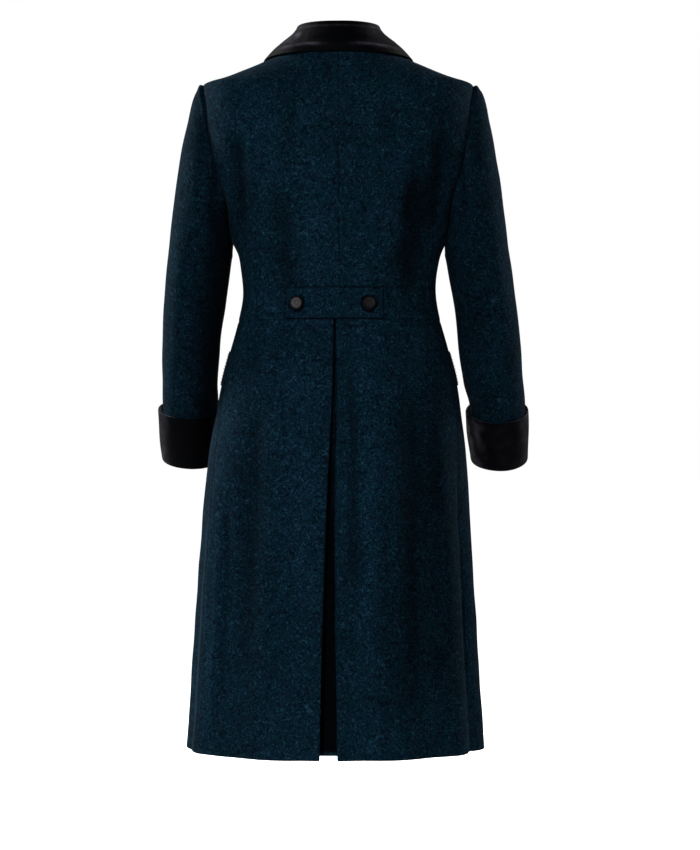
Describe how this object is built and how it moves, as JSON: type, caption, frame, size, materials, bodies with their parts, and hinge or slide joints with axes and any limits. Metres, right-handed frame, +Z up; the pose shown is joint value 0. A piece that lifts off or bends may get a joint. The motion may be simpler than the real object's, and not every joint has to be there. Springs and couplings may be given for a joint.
{
  "type": "fitted wool overcoat with velvet collar and cuffs",
  "caption": "Long fitted wool overcoat, filled out as worn, with velvet collar and turn-back cuffs, buttoned half belt and an inverted back pleat.",
  "frame": {"origin": "the middle of the neck seam's level, between the shoulders, where the coat hangs on its wearer", "axes": "+Z up, +Y the wearer's forward, +X the wearer's right; the back is seen along +Y"},
  "size_m": [0.6421, 0.3513, 1.2214],
  "materials": {
    "wool": "dark petrol overcoating, finely mottled with black, matt with a soft nap",
    "velvet": "black cotton velvet with a faint sheen",
    "button": "dark grey-brown horn-like button with a raised rim"
  },
  "bodies": {
    "root": {"back_left": "wool", "back_right": "wool", "front_left": "wool", "front_right": "wool", "back_skirt_left": "wool", "back_skirt_right": "wool", "front_skirt_left": "wool", "front_skirt_right": "wool", "pleat_underlay": "wool", "top_sleeve_left": "wool", "top_sleeve_right": "wool", "under_sleeve_left": "wool", "under_sleeve_right": "wool", "lapel_left": "wool", "lapel_right": "wool", "pocket_flap_left": "wool", "pocket_flap_right": "wool", "half_belt": "wool", "collar": "velvet", "cuff_left": "velvet", "cuff_right": "velvet", "belt_button_left": "button", "belt_button_right": "button", "front_button_1": "button", "front_button_2": "button", "front_button_3": "button"}
  },
  "joints": []
}
